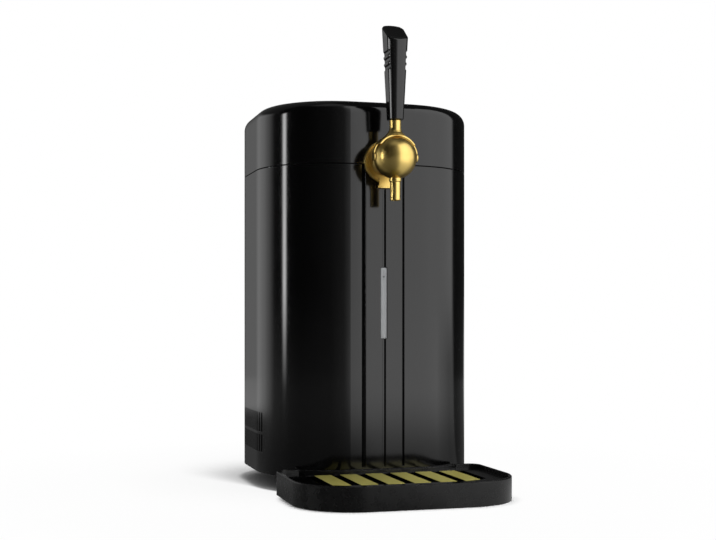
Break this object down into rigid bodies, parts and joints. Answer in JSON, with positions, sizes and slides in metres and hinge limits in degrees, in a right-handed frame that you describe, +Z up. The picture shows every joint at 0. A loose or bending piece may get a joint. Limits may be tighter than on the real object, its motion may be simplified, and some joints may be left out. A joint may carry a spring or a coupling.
{
  "type": "mini keg beer dispenser",
  "caption": "Table-top keg beer cooler with a glossy black round-cornered body, hinged lid, brass ball tap with a tall black handle, and a drip tray with a slatted grille.",
  "frame": {"origin": "centre of the whole footprint, body, rear hinge and drip tray together, on the table", "axes": "+Z up; the tap and the drip tray face -Y; +X is to the right of a person facing the tap"},
  "size_m": [0.25, 0.3876, 0.5111],
  "materials": {
    "gloss_black": "moulded plastic, polished to a mirror gloss",
    "satin_black": "moulded plastic, satin",
    "liner_grey": "light grey moulded plastic, satin",
    "coupler_black": "moulded plastic, fine texture",
    "grip_black": "moulded plastic, glossy",
    "brass": "brass, plated and satin polished",
    "slat_gold": "brass-coloured plate, satin",
    "steel": "stainless steel, plain",
    "aluminium": "drawn aluminium, fine satin",
    "ceramic_white": "white alumina plates, matte",
    "foam": "cream polyurethane foam, matte",
    "rubber": "black rubber, matte",
    "clear_hose": "milky flexible hose, satin",
    "window_grey": "smoked grey acrylic, glossy",
    "board_green": "glass-fibre circuit board with a green coat",
    "supply_case": "black plastic case, matte"
  },
  "bodies": {
    "body": {"outer_shell": "gloss_black", "base_pan": "satin_black", "feet": "rubber", "body_screws": "steel", "bulkhead": "satin_black", "keg_well": "aluminium", "insulation": "foam", "deck": "liner_grey", "lance_pocket": "liner_grey", "cartridge_pocket": "liner_grey", "cold_block": "aluminium", "peltier_module": "ceramic_white", "heat_sink": "aluminium", "fan_frame": "satin_black", "control_board": "board_green", "power_supply": "supply_case", "wiring_loom": "supply_case", "power_inlet": "satin_black", "switch_housing": "satin_black", "trim_left": "gloss_black", "trim_right": "gloss_black", "window_lens": "window_grey", "light_board": "board_green", "tap_mount": "satin_black", "escutcheon": "brass", "tap_shank": "brass", "shank_washer": "steel", "shank_nut": "brass", "shank_elbow": "brass", "tap_ball": "brass", "ball_cap": "brass", "spout": "brass", "beer_hose": "clear_hose", "gas_hose": "clear_hose", "hose_clips": "satin_black", "keg_coupler": "coupler_black", "riser_tube": "steel", "gas_regulator": "brass", "cartridge_sleeve": "steel", "hinge_leaf_body": "steel", "hinge_pin": "steel"},
    "lid": {"lid_shell": "gloss_black", "lid_liner": "liner_grey", "lid_foam": "foam", "lid_gasket": "rubber", "lid_screws": "steel", "hinge_leaf_lid": "steel"},
    "tap_handle": {"tap_hood": "brass", "grip_ferrule": "brass", "grip_stud": "steel", "tap_grip": "grip_black", "valve_plug": "brass"},
    "drip_tray": {"drip_tray": "satin_black"},
    "grille": {"tray_grille": "gloss_black", "grille_slats": "slat_gold"},
    "fan": {"fan_rotor": "satin_black"},
    "rocker": {"switch_rocker": "satin_black"},
    "knob": {"regulator_knob": "coupler_black"}
  },
  "joints": [
    {"name": "lid_hinge", "type": "hinge", "parent": "body", "child": "lid", "pos_m": [0, 0.18985, 0.3632], "axis": [-1, 0, 0], "range_deg": [0, 95]},
    {"name": "handle_pull", "type": "hinge", "parent": "body", "child": "tap_handle", "pos_m": [0, -0.10515, 0.3654], "axis": [1, 0, 0], "range_deg": [0, 45]},
    {"name": "tray_slide", "type": "slide", "parent": "body", "child": "drip_tray", "axis": [0, -1, 0], "range_m": [0, 0.16]},
    {"name": "grille_lift", "type": "slide", "parent": "drip_tray", "child": "grille", "axis": [0, 0, 1], "range_m": [0, 0.03]},
    {"name": "fan_spin", "type": "hinge", "parent": "body", "child": "fan", "pos_m": [0, 0.0616, 0.0323], "axis": [0, 0, 1], "continuous": true},
    {"name": "rocker_tip", "type": "hinge", "parent": "body", "child": "rocker", "pos_m": [-0.016, 0.18345, 0.045], "axis": [-1, 0, 0], "range_deg": [0, 12]},
    {"name": "knob_turn", "type": "hinge", "parent": "body", "child": "knob", "pos_m": [0.07637, 0.13797, 0.387], "axis": [0, 0, 1], "range_deg": [0, 270]}
  ]
}
